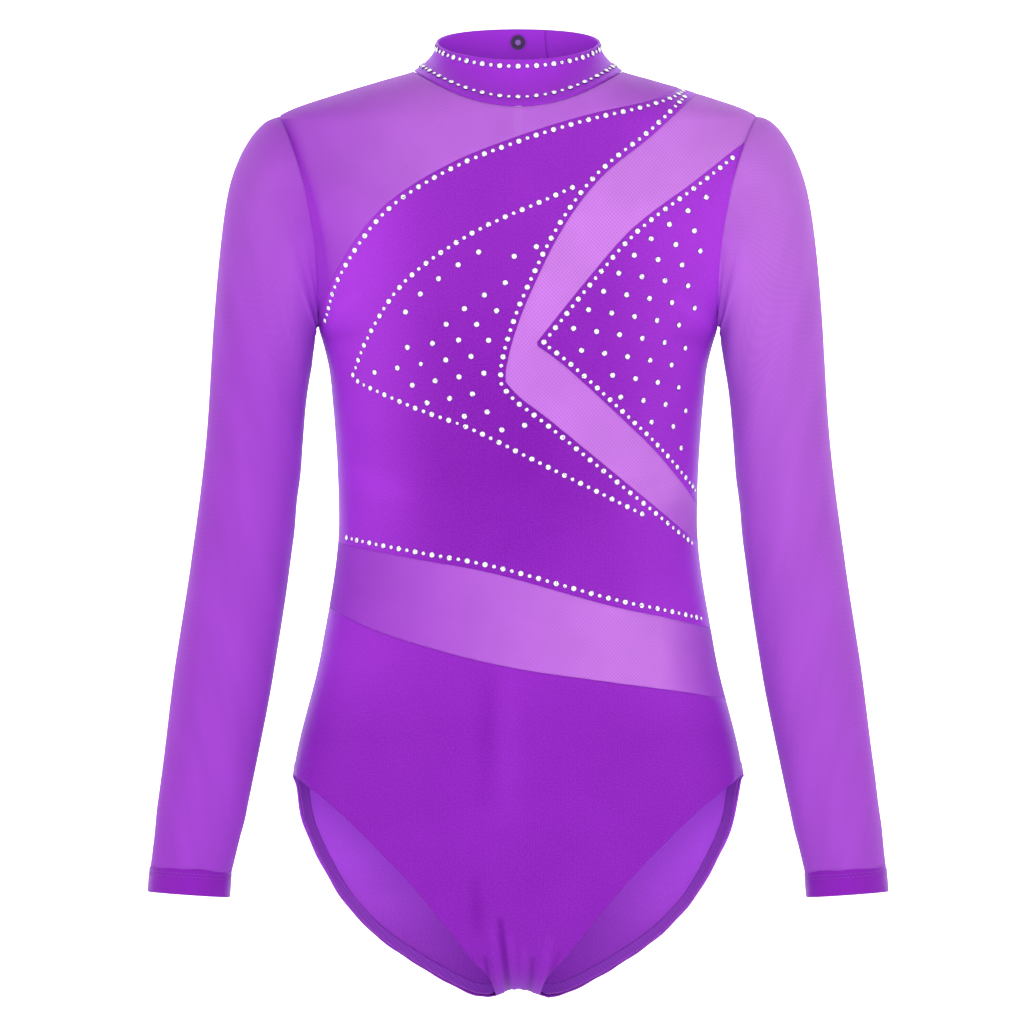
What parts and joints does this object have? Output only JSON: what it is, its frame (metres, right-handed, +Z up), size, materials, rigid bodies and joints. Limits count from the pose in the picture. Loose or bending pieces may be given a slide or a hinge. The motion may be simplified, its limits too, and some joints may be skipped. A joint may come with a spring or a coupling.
{
  "type": "gymnastics leotard",
  "caption": "Long-sleeved gymnastics leotard with a mock-neck collar, sheer mesh sleeves and insets, slanted satin panels and rows of flat-back stones",
  "frame": {"origin": "centre of the collar seam, level with the point where neck and shoulder meet", "axes": "+Z up towards the collar, front faces -Y, +X towards the wearer's left sleeve"},
  "size_m": [0.4776, 0.1782, 0.6255],
  "materials": {
    "stretch_satin": "satin",
    "stretch_mesh": "matte",
    "seam_tape": "matte",
    "lining": "matte",
    "press_stud": "satin",
    "crystal": "gloss"
  },
  "bodies": {
    "bodice": {"collar_band": "stretch_satin", "yoke_mesh": "stretch_mesh", "chest_panel": "stretch_satin", "chevron_mesh": "stretch_mesh", "side_wedge": "stretch_satin", "waist_mesh": "stretch_mesh", "brief_front": "stretch_satin", "back_yoke_mesh": "stretch_mesh", "back_panel": "stretch_satin", "gusset_lining": "lining", "slit_binding": "stretch_satin", "left_armhole_tape": "seam_tape", "right_armhole_tape": "seam_tape", "left_leg_elastic": "seam_tape", "right_leg_elastic": "seam_tape", "stud_backs": "press_stud", "stud_posts": "press_stud", "stones_collar_top": "crystal", "stones_collar_foot": "crystal", "stones_arc": "crystal", "stones_chevron": "crystal", "stones_leaf_top": "crystal", "stones_leaf_foot": "crystal", "stones_leaf_field": "crystal", "stones_wedge": "crystal", "stones_wedge_field": "crystal", "stones_waist": "crystal"},
    "collar_tab": {"collar_tab": "stretch_satin", "stud_sockets": "press_stud", "stud_caps": "press_stud"},
    "left_sleeve": {"left_sleeve": "stretch_mesh", "left_cuff_hem": "stretch_satin"},
    "right_sleeve": {"right_sleeve": "stretch_mesh", "right_cuff_hem": "stretch_satin"}
  },
  "joints": [
    {"name": "left_sleeve_raise", "type": "hinge", "parent": "bodice", "child": "left_sleeve", "pos_m": [0.154, 0, -0.033], "axis": [0, -1, 0], "range_deg": [0, 60]},
    {"name": "right_sleeve_raise", "type": "hinge", "parent": "bodice", "child": "right_sleeve", "pos_m": [-0.154, 0, -0.033], "axis": [0, 1, 0], "range_deg": [0, 60]},
    {"name": "collar_tab_open", "type": "hinge", "parent": "bodice", "child": "collar_tab", "pos_m": [0.02037, 0.04681, 0.00974], "axis": [0.1389, 0.3135, -0.9394], "range_deg": [0, 60]}
  ]
}
